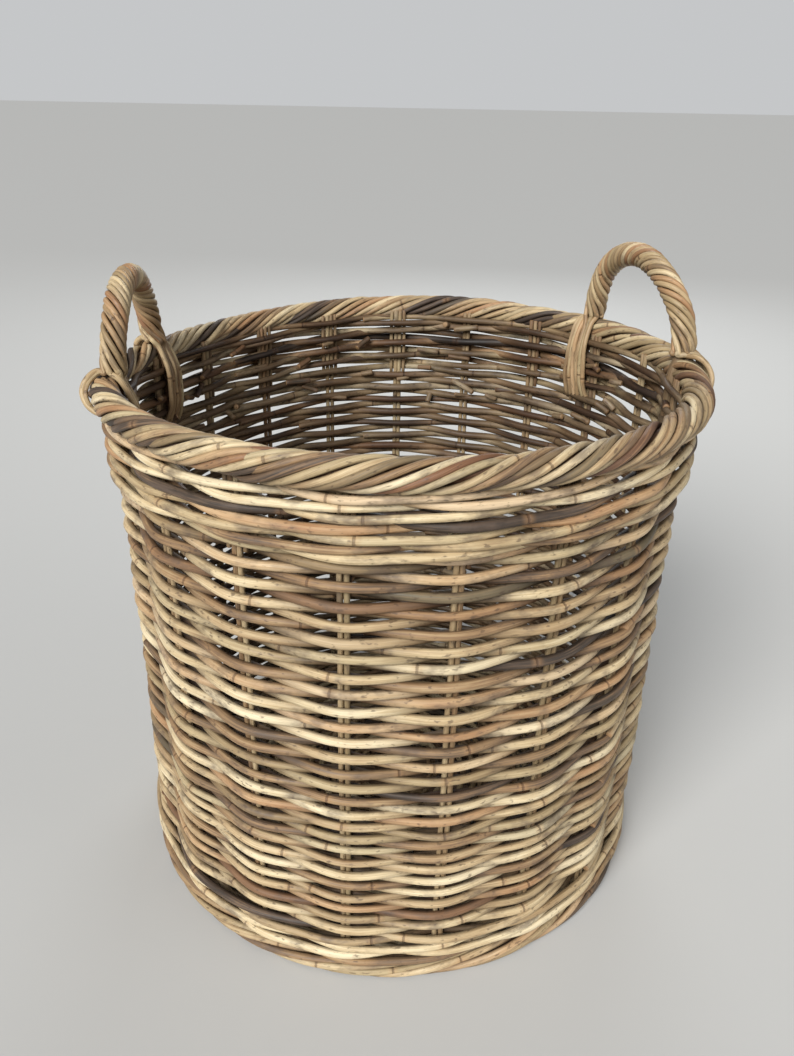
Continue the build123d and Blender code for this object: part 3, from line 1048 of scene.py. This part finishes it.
# ---- floor, light and camera -------------------------------------------------------------------
def plain(name, colour, roughness):
    n = Nodes(name)
    n.shader.inputs["Base Color"].default_value = colour
    n.shader.inputs["Roughness"].default_value = roughness
    return n.material


FLOOR = 60.0                    # metres from the middle to a side, so that its edge is far away
AIM = Vector((0, 0, 0.25))      # the lamps point here

floor_mesh = bpy.data.meshes.new("floor")
floor_corners = [(x * FLOOR, y * FLOOR, 0) for x, y in ((-1, -1), (1, -1), (1, 1), (-1, 1))]
floor_mesh.from_pydata(floor_corners, [], [(0, 1, 2, 3)])
floor_mesh.materials.append(plain("floor_paper", (0.52, 0.52, 0.51, 1), 0.9))
floor = bpy.data.objects.new("floor", floor_mesh)
bpy.context.scene.collection.objects.link(floor)


def lamp(name, kind, place, energy, colour, **settings):
    """A light at a place, pointed at the basket."""
    data = bpy.data.lights.new(name, kind)
    data.energy = energy
    data.color = colour
    for key, value in settings.items():
        setattr(data, key, value)
    made = bpy.data.objects.new(name, data)
    made.location = place
    made.rotation_euler = (AIM - Vector(place)).to_track_quat("-Z", "Y").to_euler()
    bpy.context.scene.collection.objects.link(made)


lamp("key", "SUN", (-1.3, -1.8, 1.8), 4.1, (1.0, 0.99, 0.97), angle=radians(32))
lamp("fill", "AREA", (1.9, -1.2, 1.3), 12, (1.0, 0.97, 0.92), shape="DISK", size=1.6)
lamp("back", "AREA", (0.6, 2.2, 1.6), 18, (0.95, 0.98, 1.0), shape="DISK", size=1.4)

world = bpy.data.worlds.new("studio")
world.use_nodes = True
sky = world.node_tree
background = sky.nodes["Background"]
background.inputs["Color"].default_value = (0.86, 0.9, 0.95, 1)
background.inputs["Strength"].default_value = 0.21
paper = sky.nodes.new("ShaderNodeBackground")
paper.inputs["Color"].default_value = (0.56, 0.57, 0.58, 1)
seen = sky.nodes.new("ShaderNodeMixShader")
sky.links.new(sky.nodes.new("ShaderNodeLightPath").outputs["Is Camera Ray"], seen.inputs[0])
sky.links.new(background.outputs[0], seen.inputs[1])
sky.links.new(paper.outputs[0], seen.inputs[2])
sky.links.new(seen.outputs[0], sky.nodes["World Output"].inputs["Surface"])
bpy.context.scene.world = world
bpy.context.scene.view_settings.view_transform = "Standard"

# The camera stands in front, a little to the left, and looks down into the basket.
RIM_R = BORDER_R * (1 + OVAL)
CAMERA_DISTANCE = 3.01 * RIM_R
CAMERA_HEIGHT = 2.657 * RIM_R
CAMERA_AZIMUTH = radians(-8)
CAMERA_PITCH = radians(25.62)
CAMERA_ROLL = radians(1.18)
FOCAL_IN_HEIGHTS = 0.8523       # the focal length, in heights of the picture
SENSOR = 24                     # millimetres, like the lens

ahead = Vector((-sin(CAMERA_AZIMUTH), cos(CAMERA_AZIMUTH), 0))
forward = ahead * cos(CAMERA_PITCH) - Vector((0, 0, sin(CAMERA_PITCH)))
level = Vector((cos(CAMERA_AZIMUTH), sin(CAMERA_AZIMUTH), 0))
upright = level.cross(forward)
right = level * cos(CAMERA_ROLL) + upright * sin(CAMERA_ROLL)
above = right.cross(forward)
camera_data = bpy.data.cameras.new("camera")
camera_data.sensor_fit = "VERTICAL"
camera_data.sensor_height = SENSOR
camera_data.lens = SENSOR * FOCAL_IN_HEIGHTS
camera_data.clip_start = 0.01
camera = bpy.data.objects.new("camera", camera_data)
eye = Vector((0, 0, CAMERA_HEIGHT)) - ahead * CAMERA_DISTANCE
turn = Matrix((right, above, -forward)).transposed().to_4x4()
camera.matrix_world = Matrix.Translation(eye) @ turn
bpy.context.scene.collection.objects.link(camera)
bpy.context.scene.camera = camera
